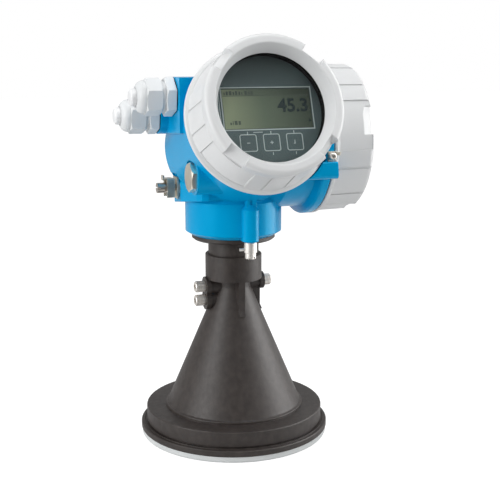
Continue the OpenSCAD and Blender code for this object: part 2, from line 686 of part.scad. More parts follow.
// ---- Small parts on the left pad and at the terminal cover ----
module blanking_plug() {
    color(steel) facing_left(plug_at) {
        chamfered_hexagon(26.8, 4.8);
        translate([0, 0, -10]) cylinder(r = 9.9, h = 10.1);
    }
}
module ground_washer() {
    color(steel) facing_left(ground_at) ring(8.2, 3.1, 0, 1.2);
}
module ground_clamp() {
    // Two plates that hold the earthing wire between them, the outer one with
    // its edges turned out and an ear at the top
    color(steel) facing_left(ground_at) difference() {
        union() {
            translate([-7.5, -9.6, 1.3]) cube([15, 19.2, 1.5]);
            translate([-6.5, -8.4, 4.8]) cube([13, 16.8, 1.5]);
            for (side = [-6.5, 5.3]) translate([side, -8.4, 4.8]) cube([1.2, 16.8, 7]);
            translate([-3, 6.9, 4.8]) cube([6, 1.5, 10]);
            translate([-3, 8.3, 13.3]) cube([6, 3, 1.5]);
        }
        translate([0, 0, -1]) cylinder(r = 3.4, h = 10);
    }
}
module ground_screw() {
    // Spring washer, hexagon and slotted head on one screw
    color(steel) facing_left([ground_at[0] - 6.4, ground_at[1], ground_at[2]]) {
        ring(5, 2.9, 0, 1.8);
        difference() {
            union() {
                translate([0, 0, 1.7]) hexagon(9.6, 5);
                translate([0, 0, 6.6]) cylinder(r = 4.6, h = 6.6);
            }
            translate([-6, -0.7, 11.2]) cube([12, 1.4, 3]);
        }
        translate([0, 0, -14]) cylinder(r = 3, h = 16);
    }
}
module cover_clamp() {
    // Steel claw on the post, its finger over the lip of the terminal cover
    color(steel) translate(clamp_at) difference() {
        union() {
            translate([-3, -clamp_t - 0.1, -4.2]) cube([7.6, clamp_t, 8.4]);
            translate([4.5, -clamp_t - 0.1, 0.4]) cube([4, clamp_t, 3]);
            translate([6, -clamp_t - 0.1, 0.4]) cube([2.5, clamp_t + 3.2, 3]);
        }
        rotate([90, 0, 0]) cylinder(r = clamp_hole_r + 0.3, h = 12, center = true);
    }
}
module cover_clamp_screw() {
    color(steel) translate([clamp_at[0], clamp_at[1] - clamp_t - 0.3, clamp_at[2]]) rotate([90, 0, 0])
        cap_screw(3.2, 3.6, clamp_hole_r - 0.1, 7, 3);
}

antenna_window();
window_ring();
window_seal();
horn();
horn_screws();
waveguide();
neck_adapter();
neck_seal();
hf_module();
housing();
neck_lock_screw();
electronics_module();
display_holder();
display_module();
lcd_panel();
display_cover();
sight_glass();
glass_retainer();
display_cover_seal();
terminal_cover();
terminal_cover_seal();
terminal_block();
terminal_screws();
gland_upper();
gland_lower();
gland_nut_upper();
gland_nut_lower();
gland_seal_upper();
gland_seal_lower();
gland_plug_upper();
gland_plug_lower();
gland_washers();
blanking_plug();
ground_screw();
ground_clamp();
ground_washer();
cover_clamp();
cover_clamp_screw();
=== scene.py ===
# %% [markdown]
# A radar level transmitter looks down into a tank through a moulded horn and
# shows the level on a small screen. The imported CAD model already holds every
# solid part, so this lesson starts by loading it as a fixed frame and then
# only dresses it: finishes, softened castings, and the fine parts that are too
# small for the solids.

# %% Load the frame
import json
import math

import bmesh
import bpy
import numpy as np
from mathutils import Matrix, Vector


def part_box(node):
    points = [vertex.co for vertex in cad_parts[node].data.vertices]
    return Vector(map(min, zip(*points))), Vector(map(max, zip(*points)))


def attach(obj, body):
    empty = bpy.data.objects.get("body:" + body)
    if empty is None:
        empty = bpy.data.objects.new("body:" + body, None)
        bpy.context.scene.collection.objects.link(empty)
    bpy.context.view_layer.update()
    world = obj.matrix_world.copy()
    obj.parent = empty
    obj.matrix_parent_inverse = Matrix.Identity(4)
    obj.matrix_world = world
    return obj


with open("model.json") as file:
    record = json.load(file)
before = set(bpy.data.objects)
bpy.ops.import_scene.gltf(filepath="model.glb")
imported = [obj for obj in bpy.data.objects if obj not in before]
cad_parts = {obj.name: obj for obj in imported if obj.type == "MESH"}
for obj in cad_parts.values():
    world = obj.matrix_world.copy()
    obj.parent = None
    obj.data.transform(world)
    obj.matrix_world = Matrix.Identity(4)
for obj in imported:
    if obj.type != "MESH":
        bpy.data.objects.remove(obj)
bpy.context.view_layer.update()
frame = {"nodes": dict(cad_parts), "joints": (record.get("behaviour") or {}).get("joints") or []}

nodes = frame["nodes"]
MM = 0.001

# %% [markdown]
# The display sits behind a tilted round window. Its axis is the axis on which
# the cover is screwed, and the frame knows it, so the whole panel can be laid
# out in flat coordinates and then tilted with one matrix.

# %% Find the display's plane
cover_joint = next(j for j in frame["joints"] if j["name"] == "display_cover_screw")
display_centre = Vector(cover_joint["pos_m"])
display_out = Vector(cover_joint["axis"]).normalized()
display_right = Vector((1, 0, 0))
display_up = display_out.cross(display_right)


def reach(node, direction, start):
    """How far a CAD node goes along a direction, measured from a point."""
    return max((v.co - start).dot(direction) for v in nodes[node].data.vertices)


def plane_matrix(start, right, up, out):
    """A matrix that turns flat x, y, lift coordinates into the part's frame."""
    turn = Matrix((right, up, out)).transposed().to_4x4()
    return Matrix.Translation(start) @ turn


panel_reach = reach("display_module", display_out, display_centre)
panel_plane = plane_matrix(display_centre + display_out * panel_reach,
                           display_right, display_up, display_out)
lcd_corners = [panel_plane.inverted() @ v.co for v in nodes["lcd_panel"].data.vertices]
lcd_low = Vector([min(c[i] for c in lcd_corners) for i in range(3)])
lcd_high = Vector([max(c[i] for c in lcd_corners) for i in range(3)])
print("panel", round(panel_reach / MM, 1), "mm out; screen",
      [round(v / MM, 1) for v in (*lcd_low, *lcd_high)])

# %% [markdown]
# Every finish here is a small tree of shader nodes. They share the same first
# steps: a Principled shader, noise on Object coordinates, and a bump. On solid
# parts the bump starts from a Bevel node, which rounds each edge a little as
# paint and moulding do. Object coordinates are metres here, so a noise scale of
# 1000 makes grains of about a millimetre.

# %% Start a finish
def start_finish(name, roughness, metallic=0.0):
    """A new material, its node tree and its Principled shader."""
    material = bpy.data.materials.new(name)
    material.use_nodes = True
    shader = material.node_tree.nodes["Principled BSDF"]
    shader.inputs["Roughness"].default_value = roughness
    shader.inputs["Metallic"].default_value = metallic
    return material, material.node_tree, shader


def noise(tree, scale, detail=2.0, stretch=(1, 1, 1)):
    """Noise on Object coordinates, squeezed or stretched where a finish has a direction."""
    place = tree.nodes.new("ShaderNodeTexCoord")
    mapping = tree.nodes.new("ShaderNodeMapping")
    mapping.inputs["Scale"].default_value = stretch
    texture = tree.nodes.new("ShaderNodeTexNoise")
    texture.inputs["Scale"].default_value = scale
    texture.inputs["Detail"].default_value = detail
    tree.links.new(place.outputs["Object"], mapping.inputs["Vector"])
    tree.links.new(mapping.outputs["Vector"], texture.inputs["Vector"])
    return texture.outputs["Fac"]


# %% [markdown]
# Colour is never quite even on a real surface. Two close shades mixed by a
# slow noise give that without drawing a pattern, and the same noise can move
# the roughness, so that highlights break up a little.

# %% Vary colour and roughness
def vary_colour(tree, shader, low, high, factor):
    """Mix two close shades by a factor, and return the ramp that does it."""
    ramp = tree.nodes.new("ShaderNodeValToRGB")
    ramp.color_ramp.elements[0].position = 0.3
    ramp.color_ramp.elements[1].position = 0.7
    ramp.color_ramp.elements[0].color = (*low, 1)
    ramp.color_ramp.elements[1].color = (*high, 1)
    tree.links.new(factor, ramp.inputs["Fac"])
    tree.links.new(ramp.outputs["Color"], shader.inputs["Base Color"])
    return ramp


def vary_roughness(tree, shader, low, high, factor):
    """Move the roughness between two values with a factor."""
    span = tree.nodes.new("ShaderNodeMapRange")
    span.inputs["From Min"].default_value = 0.3
    span.inputs["From Max"].default_value = 0.7
    span.inputs["To Min"].default_value = low
    span.inputs["To Max"].default_value = high
    tree.links.new(factor, span.inputs["Value"])
    tree.links.new(span.outputs["Result"], shader.inputs["Roughness"])


def relief(tree, shader, height, depth, edge_radius=0.0):
    """Bump from a height, on normals whose edges are rounded by a Bevel node."""
    bump = tree.nodes.new("ShaderNodeBump")
    bump.inputs["Strength"].default_value = 1.0
    bump.inputs["Distance"].default_value = depth
    tree.links.new(height, bump.inputs["Height"])
    if edge_radius:
        bevel = tree.nodes.new("ShaderNodeBevel")
        bevel.samples = 6
        bevel.inputs["Radius"].default_value = edge_radius
        tree.links.new(bevel.outputs["Normal"], bump.inputs["Normal"])
    tree.links.new(bump.outputs["Normal"], shader.inputs["Normal"])


# %% [markdown]
# The housing and the two covers look like die-cast aluminium with powder coat.
# That flows as it cures, so it has a satin shine, a very shallow orange peel a
# little over a millimetre across, and soft edges. The shine of the blue coat is
# tinted where it is seen straight on and stays white at the rims. That is a
# choice for the looks, and no measured property of the coat.

# %% Powder coat
ORANGE_PEEL = 700  # noise scale: waves of about 1.4 mm


def powder_coat(name, low, high, roughness, shine, shine_tint):
    material, tree, shader = start_finish(name, roughness)
    shader.inputs["Specular IOR Level"].default_value = shine
    shader.inputs["Specular Tint"].default_value = (*shine_tint, 1)
    vary_colour(tree, shader, low, high, noise(tree, 18, 1))
    vary_roughness(tree, shader, roughness - 0.02, roughness + 0.03, noise(tree, 60, 1))
    relief(tree, shader, noise(tree, ORANGE_PEEL, 1), 0.02 * MM, 1.1 * MM)
    return material


housing_blue = powder_coat("housing_blue_coat", (0.0, 0.318, 0.625), (0.0, 0.330, 0.645),
                           roughness=0.23, shine=0.4, shine_tint=(0.04, 0.75, 1.0))
cover_grey = powder_coat("cover_grey_coat", (0.665, 0.675, 0.68), (0.685, 0.695, 0.70),
                         roughness=0.34, shine=0.4, shine_tint=(1, 1, 1))
print("coats:", housing_blue.name, cover_grey.name)

# %% [markdown]
# The horn is injection moulded in a dark filled plastic. Its skin has a fine
# grain and the filler shows as a faint mottle a few millimetres across. The
# small unfilled parts have only faint long streaks, from the way the melt runs.

# %% Moulded plastics
def moulded(name, low, high, roughness, grain=1500, depth=0.03 * MM, edge_radius=0.4 * MM,
            mottle=30, stretch=(1, 1, 0.25), shine=0.5):
    material, tree, shader = start_finish(name, roughness)
    shader.inputs["Specular IOR Level"].default_value = shine
    vary_colour(tree, shader, low, high, noise(tree, mottle, 4, stretch))
    vary_roughness(tree, shader, roughness - 0.02, roughness + 0.04, noise(tree, 260, 2))
    relief(tree, shader, noise(tree, grain, 3), depth, edge_radius)
    return material


def thin_film(name, low, high, roughness):
    """Ink, film and liquid crystal: too thin for a rounded edge, with a very fine grain."""
    return moulded(name, low, high, roughness, grain=3000, depth=0.004 * MM, edge_radius=0.0)


horn_dark = moulded("horn_dark_plastic", (0.025, 0.019, 0.0165), (0.043, 0.034, 0.030), 0.47,
                    grain=1000, depth=0.06 * MM, mottle=170, stretch=(1, 1, 0.8))
window_white = moulded("window_white_plastic", (0.63, 0.65, 0.65), (0.70, 0.72, 0.72), 0.42)
gland_grey = moulded("gland_grey_plastic", (0.66, 0.68, 0.69), (0.72, 0.74, 0.75), 0.36)
plug_white = moulded("plug_white_plastic", (0.76, 0.77, 0.78), (0.84, 0.85, 0.86), 0.30)
module_dark = moulded("module_dark_plastic", (0.022, 0.023, 0.026), (0.034, 0.035, 0.038), 0.55,
                      shine=0.1)
holder_white = moulded("holder_white_plastic", (0.66, 0.66, 0.64), (0.74, 0.74, 0.72), 0.5)
# near black: the retainer's own black together with painted shade deep inside the window
ring_black_and_shade = moulded("ring_black_plastic", (0.003, 0.003, 0.003), (0.005, 0.005, 0.005), 0.8,
                     shine=0.1)
seal_black = moulded("seal_black_rubber", (0.012, 0.012, 0.012), (0.022, 0.022, 0.022), 0.75)
panel_slate = moulded("panel_slate_film", (0.066, 0.102, 0.103), (0.076, 0.115, 0.116), 0.55,
                      grain=2600, depth=0.01 * MM, edge_radius=0.0)
print("plastics:", horn_dark.name, window_white.name, gland_grey.name, plug_white.name)

# %% [markdown]
# The screws look turned from stainless steel, and the blanking plug and the two
# clamps look nickel plated. Turning leaves fine rings across the axis and plating
# a soft cloudiness, so a fine noise, squeezed along the axis where there is one,
# drives the roughness and a shallow bump. The small screw of the cover's clamp
# stands across the others but shares their finish, so its rings run lengthwise.
# The earthing screw is duller than the rest.

# %% Metals
def turned_metal(name, low, high, roughness, stretch):
    material, tree, shader = start_finish(name, roughness, 1.0)
    vary_colour(tree, shader, low, high, noise(tree, 120, 3))
    rings = noise(tree, 900, 2, stretch)
    vary_roughness(tree, shader, roughness - 0.08, roughness + 0.12, rings)
    relief(tree, shader, rings, 0.02 * MM, 0.3 * MM)
    return material


ALONG_X = (6, 0.3, 0.3)  # fine steps along X, the axis of most screws, long ones across
ALONG_Z = (0.3, 0.3, 6)
screw_steel = turned_metal("screw_stainless", (0.80, 0.76, 0.71), (0.88, 0.84, 0.79), 0.42,
                           ALONG_X)
lock_steel = turned_metal("lock_screw_stainless", (0.84, 0.81, 0.77), (0.92, 0.89, 0.85), 0.52,
                          ALONG_Z)
earth_nickel = turned_metal("earthing_nickel", (0.80, 0.75, 0.65), (0.88, 0.83, 0.72), 0.36,
                            (1, 1, 1))
earth_steel = turned_metal("earthing_screw_stainless", (0.50, 0.45, 0.40), (0.60, 0.54, 0.48),
                           0.36, ALONG_X)
guide_metal = turned_metal("guide_aluminium", (0.60, 0.61, 0.62), (0.70, 0.71, 0.72), 0.38,
                           (1, 1, 5))
print("metals:", screw_steel.name, lock_steel.name, earth_nickel.name)

# %% [markdown]
# The window is flat glass. Its index is set lower than that of real glass, so
# that it mirrors less and the panel behind it shows clearly. Light that only
# passes through to cast a shadow goes straight on, which keeps the panel as
# bright as it is.
# Behind it the screen's film carries painted light: its colour is painted
# brighter on its left, where the lamps reach it, and darker to the right. Its
# header strip is a shade darker.

# %% Glass and screen
GLASS_IOR = 1.22  # real glass is near 1.5, which would mirror more


def window_glass():
    material, tree, shader = start_finish("window_glass", 0.02)
    shader.inputs["Transmission Weight"].default_value = 1.0
    shader.inputs["IOR"].default_value = GLASS_IOR
    smear = noise(tree, 14, 2)
    vary_roughness(tree, shader, 0.0, 0.03, smear)
    vary_colour(tree, shader, (0.93, 0.95, 0.95), (0.97, 0.98, 0.98), smear)
    clear = tree.nodes.new("ShaderNodeBsdfTransparent")
    choose = tree.nodes.new("ShaderNodeMixShader")
    rays = tree.nodes.new("ShaderNodeLightPath")
    tree.links.new(rays.outputs["Is Shadow Ray"], choose.inputs["Fac"])
    tree.links.new(shader.outputs["BSDF"], choose.inputs[1])
    tree.links.new(clear.outputs["BSDF"], choose.inputs[2])
    tree.links.new(choose.outputs["Shader"], tree.nodes["Material Output"].inputs["Surface"])
    return material


HEADER_TALL = 5.6 * MM
HEADER_SHADE = 0.13
# painted light: the film's colour, painted lit on the left and shaded on the right
FILM_PAINTED_LIT = (0.29, 0.34, 0.205)
FILM_MIDDLE = (0.098, 0.134, 0.086)
FILM_PAINTED_SHADE = (0.040, 0.060, 0.038)


def screen_film():
    """Painted light, lit on the left and shaded on the right, with a step at the header strip."""
    material, tree, shader = start_finish("screen_film", 0.42)
    place = tree.nodes.new("ShaderNodeTexCoord")
    split = tree.nodes.new("ShaderNodeSeparateXYZ")
    span = tree.nodes.new("ShaderNodeMapRange")
    span.inputs["From Min"].default_value = lcd_low.x
    span.inputs["From Max"].default_value = lcd_high.x
    tree.links.new(place.outputs["Object"], split.inputs["Vector"])
    tree.links.new(split.outputs["X"], span.inputs["Value"])
    strip = tree.nodes.new("ShaderNodeMapRange")
    strip_z = (panel_plane @ Vector((0, lcd_high.y - HEADER_TALL, 0))).z
    strip.inputs["From Min"].default_value = strip_z - 0.1 * MM
    strip.inputs["From Max"].default_value = strip_z + 0.1 * MM
    strip.inputs["To Max"].default_value = HEADER_SHADE
    tree.links.new(split.outputs["Z"], strip.inputs["Value"])
    shade = tree.nodes.new("ShaderNodeMath")
    tree.links.new(span.outputs["Result"], shade.inputs[0])
    tree.links.new(strip.outputs["Result"], shade.inputs[1])
    ramp = vary_colour(tree, shader, FILM_PAINTED_LIT, FILM_PAINTED_SHADE, shade.outputs["Value"])
    ramp.color_ramp.elements[0].position = 0.0
    ramp.color_ramp.elements[1].position = 1.0
    middle = ramp.color_ramp.elements.new(0.45)
    middle.color = (*FILM_MIDDLE, 1)
    relief(tree, shader, noise(tree, 3000, 1), 0.008 * MM)
    return material


sight_clear = window_glass()
screen_green = screen_film()
print("glass:", sight_clear.name, "screen:", screen_green.name)

# %% [markdown]
# A CAD node keeps its mesh and only gets a finish in its material slot. The
# table below names each finish once, with all the nodes that wear it.

# %% Dress the CAD nodes
FINISHES = {
    housing_blue: ["housing"],
    cover_grey: ["display_cover", "terminal_cover"],
    horn_dark: ["horn", "window_ring", "neck_adapter"],
    window_white: ["antenna_window"],
    gland_grey: ["gland_upper", "gland_lower", "gland_nut_upper", "gland_nut_lower"],
    plug_white: ["gland_plug_upper", "gland_plug_lower"],
    module_dark: ["electronics_module", "terminal_block"],
    holder_white: ["display_holder"],
    panel_slate: ["display_module"],
    ring_black_and_shade: ["glass_retainer"],
    seal_black: ["window_seal", "neck_seal", "display_cover_seal", "terminal_cover_seal",
                 "gland_seal_upper", "gland_seal_lower", "gland_washers"],
    screw_steel: ["horn_screws", "terminal_screws", "cover_clamp_screw"],
    lock_steel: ["neck_lock_screw"],
    earth_steel: ["ground_screw", "ground_washer"],
    earth_nickel: ["blanking_plug", "ground_clamp", "cover_clamp"],
    guide_metal: ["waveguide", "hf_module"],
    sight_clear: ["sight_glass"],
    screen_green: ["lcd_panel"],
}
for finish, names in FINISHES.items():
    for name in names:
        nodes[name].data.materials.clear()
        nodes[name].data.materials.append(finish)
dressed = {name for names in FINISHES.values() for name in names}
print("dressed", len(dressed), "nodes; left plain:", sorted(set(nodes) - dressed))

# %% [markdown]
# A finished piece is a plain mesh at the origin that rides on one CAD body and
# takes one of the finishes made above. One helper does all of it.

# %% Add a piece
def add_piece(name, mesh, material, body):
    mesh.materials.clear()
    mesh.materials.append(material)
    piece = bpy.data.objects.new(name, mesh)
    bpy.context.scene.collection.objects.link(piece)
    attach(piece, body)
    print(name, "on", body, len(mesh.polygons), "faces")


def mesh_from(bm, name):
    """A plain mesh from a bmesh, with its faces turned outward."""
    mesh = bpy.data.meshes.new(name)
    bmesh.ops.recalc_face_normals(bm, faces=bm.faces)
    bm.to_mesh(mesh)
    bm.free()
    return mesh


# %% [markdown]
# The panel's marks are screen printed: a frame line round the screen, ticks
# over the three keys, small marks under two of them and a dash between the
# first two. Each mark is a bar a tenth of a millimetre thick, laid flat and
# then tilted with the panel.

# %% Print the panel
PRINT_T = 0.12 * MM


def bar(bm, x0, y0, x1, y1, lift=0.0, thickness=PRINT_T):
    """A flat bar between two corners, in millimetres on the panel."""
    made = bmesh.ops.create_cube(bm, size=1.0)["verts"]
    size = Matrix.Diagonal(((x1 - x0) * MM, (y1 - y0) * MM, thickness, 1))
    spot = Matrix.Translation(((x0 + x1) / 2 * MM, (y0 + y1) / 2 * MM, lift * MM + thickness / 2))
    bmesh.ops.transform(bm, matrix=panel_plane @ spot @ size, verts=made)


# key places and sizes, in millimetres on the panel
KEY_X = (-20.0, 0.0, 20.0)
KEY_Y = -26.5
KEY_SIZE = 13.8
lcd_box = [v / MM for v in (lcd_low.x, lcd_low.y, lcd_high.x, lcd_high.y)]
FRAME_GAP = 0.7
FRAME_LINE = 0.9
x0, y0 = lcd_box[0] - FRAME_GAP, lcd_box[1] - FRAME_GAP
x1, y1 = lcd_box[2] + FRAME_GAP, lcd_box[3] + FRAME_GAP
left_edge = x0 - FRAME_LINE
marks = bmesh.new()
bar(marks, left_edge, y0 - FRAME_LINE, x1 + FRAME_LINE, y0)
bar(marks, left_edge, y1, x1 + FRAME_LINE, y1 + FRAME_LINE)
bar(marks, left_edge, y0, x0, y1)
bar(marks, x1, y0, x1 + FRAME_LINE, y1)
bar(marks, left_edge - 1.9, y0, left_edge - 1.4, y1)
key_top, key_foot = KEY_Y + KEY_SIZE / 2, KEY_Y - KEY_SIZE / 2
for x in KEY_X:
    bar(marks, x - 0.35, key_top + 0.4, x + 0.35, key_top + 2.6)
for x in KEY_X[1:]:
    bar(marks, x - 0.3, key_foot - 3.6, x + 0.3, key_foot - 1.4)
bar(marks, KEY_X[0] + 5, key_top + 1.6, KEY_X[1] - 7, key_top + 2.2)
print_grey = thin_film("print_grey_ink", (0.45, 0.52, 0.51), (0.53, 0.60, 0.59), 0.5)
add_piece("panel_print", mesh_from(marks, "panel_print"), print_grey, "housing")

# %% [markdown]
# The three touch keys are the same rounded square, repeated in a row. That is
# work for Geometry Nodes: a square curve with filleted corners, swept by a
# flat profile, and set on the points of a short line.

# %% Build the key row
def new_tree(name, inputs):
    """A geometry node tree with named number inputs and one geometry output."""
    tree = bpy.data.node_groups.new(name, "GeometryNodeTree")
    tree.interface.new_socket("Geometry", in_out="OUTPUT", socket_type="NodeSocketGeometry")
    for title, kind, value in inputs:
        socket = tree.interface.new_socket(title, in_out="INPUT", socket_type=kind)
        socket.default_value = value
    return tree, tree.nodes.new("NodeGroupInput"), tree.nodes.new("NodeGroupOutput")


def finish_tree(tree, output, geometry, material):
    """End a tree as every tree here ends: real geometry with a material on it."""
    realize = tree.nodes.new("GeometryNodeRealizeInstances")
    paint = tree.nodes.new("GeometryNodeSetMaterial")
    paint.inputs["Material"].default_value = material
    tree.links.new(geometry, realize.inputs["Geometry"])
    tree.links.new(realize.outputs["Geometry"], paint.inputs["Geometry"])
    tree.links.new(paint.outputs["Geometry"], output.inputs["Geometry"])


def run_tree(tree, values, name):
    """Set the inputs by identifier, evaluate once, and return a plain mesh."""
    holder = bpy.data.objects.new(name + "_holder", bpy.data.meshes.new(name + "_holder"))
    bpy.context.scene.collection.objects.link(holder)
    modifier = holder.modifiers.new("shape", "NODES")
    modifier.node_group = tree
    for item in tree.interface.items_tree:
        if item.item_type == "SOCKET" and item.in_out == "INPUT" and item.name in values:
            modifier[item.identifier] = values[item.name]
    graph = bpy.context.evaluated_depsgraph_get()
    graph.update()
    mesh = bpy.data.meshes.new_from_object(holder.evaluated_get(graph))
    mesh.name = name
    holder.modifiers.clear()
    bpy.data.objects.remove(holder)
    return mesh


def key_row_tree(material):
    tree, inputs, output = new_tree("key_row", [
        ("Size", "NodeSocketFloat", 13.8 * MM), ("Corner", "NodeSocketFloat", 1.6 * MM),
        ("Line", "NodeSocketFloat", 0.7 * MM), ("Pitch", "NodeSocketFloat", 20 * MM),
        ("Keys", "NodeSocketInt", 3)])
    square = tree.nodes.new("GeometryNodeCurvePrimitiveQuadrilateral")
    fillet = tree.nodes.new("GeometryNodeFilletCurve")
    profile = tree.nodes.new("GeometryNodeCurvePrimitiveQuadrilateral")
    sweep = tree.nodes.new("GeometryNodeCurveToMesh")
    row = tree.nodes.new("GeometryNodeMeshLine")
    step = tree.nodes.new("ShaderNodeCombineXYZ")
    place = tree.nodes.new("GeometryNodeInstanceOnPoints")
    link = tree.links.new
    link(inputs.outputs["Size"], square.inputs["Width"])
    link(inputs.outputs["Size"], square.inputs["Height"])
    link(inputs.outputs["Corner"], fillet.inputs["Radius"])
    if "Mode" in fillet.inputs:
        fillet.inputs["Mode"].default_value = "Poly"
    else:
        fillet.mode = "POLY"
    fillet.inputs["Count"].default_value = 5
    link(inputs.outputs["Line"], profile.inputs["Width"])
    profile.inputs["Height"].default_value = PRINT_T
    link(square.outputs["Curve"], fillet.inputs["Curve"])
    link(fillet.outputs["Curve"], sweep.inputs["Curve"])
    link(profile.outputs["Curve"], sweep.inputs["Profile Curve"])
    link(inputs.outputs["Keys"], row.inputs["Count"])
    link(inputs.outputs["Pitch"], step.inputs["X"])
    link(step.outputs["Vector"], row.inputs["Offset"])
    link(row.outputs["Mesh"], place.inputs["Points"])
    link(sweep.outputs["Mesh"], place.inputs["Instance"])
    finish_tree(tree, output, place.outputs["Instances"], material)
    return tree


keys_mesh = run_tree(key_row_tree(print_grey),
                     {"Pitch": (KEY_X[1] - KEY_X[0]) * MM, "Size": KEY_SIZE * MM},
                     "touch_key_outlines")
keys_mesh.transform(panel_plane @ Matrix.Translation((KEY_X[0] * MM, KEY_Y * MM, PRINT_T / 2)))
add_piece("touch_key_outlines", keys_mesh, print_grey, "housing")

# %% [markdown]
# Inside each outline a small sign says what the key does: less, more, and
# enter. They are plain bars too. Where two bars cross, one lies a hair higher,
# so that no two faces share a plane.

# %% Sign the keys
CROSS_LIFT = 0.01
signs = bmesh.new()
bar(signs, KEY_X[0] - 1.3, KEY_Y - 0.3, KEY_X[0] + 1.3, KEY_Y + 0.3)
bar(signs, KEY_X[1] - 1.4, KEY_Y - 0.3, KEY_X[1] + 1.4, KEY_Y + 0.3)
bar(signs, KEY_X[1] - 0.3, KEY_Y - 1.4, KEY_X[1] + 0.3, KEY_Y + 1.4, CROSS_LIFT)
bar(signs, KEY_X[2] - 0.3, KEY_Y - 1.6, KEY_X[2] + 0.3, KEY_Y + 1.6)
bar(signs, KEY_X[2] - 1.1, KEY_Y - 1.6, KEY_X[2] - 0.3, KEY_Y - 1.0, CROSS_LIFT)
add_piece("touch_key_signs", mesh_from(signs, "touch_key_signs"), print_grey,
          "housing")

# %% [markdown]
# The screen shows a reading. Its cells are dark liquid crystal a hair above
# the film. The number is set as text, made a mesh, and then put in place. The
# header's and foot's words are too fine to read, so they are bars of uneven
# width, and a small dark sign stands at the lower right.

# %% Show a reading
cell_dark = thin_film("screen_cells_dark", (0.001, 0.014, 0.016), (0.003, 0.020, 0.022), 0.6)
cell_grey = thin_film("screen_cells_grey", (0.064, 0.088, 0.064), (0.074, 0.098, 0.073), 0.5)
CELL_T = 0.05 * MM
SCREEN_LIFT = lcd_high.z + 0.03 * MM
STROKE_GAIN = 0.031  # thickens the figures, as a share of the text's size


def number_mesh(text, width, height, right_x, base_y, name):
    """A number as a mesh of a set width and height, in millimetres on the panel."""
    font = bpy.data.curves.new(name + "_text", "FONT")
    font.body = text
    font.align_x = "RIGHT"
    font.size = 1.0
    font.extrude = 0.004
    font.offset = STROKE_GAIN
    font.space_character = 1.02
    holder = bpy.data.objects.new(name + "_text", font)
    bpy.context.scene.collection.objects.link(holder)
    graph = bpy.context.evaluated_depsgraph_get()
    graph.update()
    mesh = bpy.data.meshes.new_from_object(holder.evaluated_get(graph))
    bpy.data.objects.remove(holder)
    xs = [v.co.x for v in mesh.vertices]
    ys = [v.co.y for v in mesh.vertices]
    wide = width * MM / (max(xs) - min(xs))
    tall = height * MM / (max(ys) - min(ys))
    place = Matrix.Translation((right_x * MM - max(xs) * wide,
                                base_y * MM - min(ys) * tall, SCREEN_LIFT))
    mesh.transform(panel_plane @ place @ Matrix.Diagonal((wide, tall, tall, 1)))
    mesh.name = name
    return mesh


digits = number_mesh("45.3", 26.5, 11.8, lcd_box[2] - 2.6, lcd_box[3] - 20.0, "screen_digits")
add_piece("screen_digits", digits, cell_dark, "housing")

lift = SCREEN_LIFT / MM
header_base, foot_base = lcd_box[3] - 4.9, lcd_box[1] + 3.4
# each cell: its start from the screen's left edge, its width and its height
header_cells = ((1.6, 1.0, 2.4), (3.4, 1.9, 3.2), (6.0, 2.4, 3.4), (9.2, 1.5, 2.6),
                (11.4, 1.9, 3.4), (14.2, 1.6, 3.0), (16.6, 1.0, 2.2), (19.4, 2.2, 3.4),
                (22.4, 1.4, 2.8), (24.6, 1.9, 3.2))
foot_cells = ((4.4, 1.4, 2.0), (6.6, 0.7, 3.2), (8.2, 2.4, 3.4), (11.4, 2.0, 3.2))
header = bmesh.new()
bar(header, lcd_box[0] + 0.6, lcd_box[3] - 5.9, lcd_box[2] - 0.6, lcd_box[3] - 5.4, lift, CELL_T)
for base, cells in ((header_base, header_cells), (foot_base, foot_cells)):
    for start, wide, tall in cells:
        left = lcd_box[0] + start
        bar(header, left, base, left + wide, base + tall, lift, CELL_T)
add_piece("screen_header", mesh_from(header, "screen_header"), cell_grey, "housing")

right, low = lcd_box[2], lcd_box[1]
sign = bmesh.new()
bar(sign, right - 3.4, low + 5.0, right - 1.4, low + 6.2, lift, CELL_T)
bar(sign, right - 2.8, low + 6.2, right - 2.0, low + 7.4, lift, CELL_T)
add_piece("screen_sign", mesh_from(sign, "screen_sign"), cell_dark, "housing")

# %% [markdown]
# The heads of the clamp screws on the horn are knurled, so that they can be
# turned by hand before the key tightens them. A knurl is one ridge set round a
# circle, which is again work for Geometry Nodes. The same tree with flat,
# unturned bars makes the clamping fingers in the mouth of a cable gland.

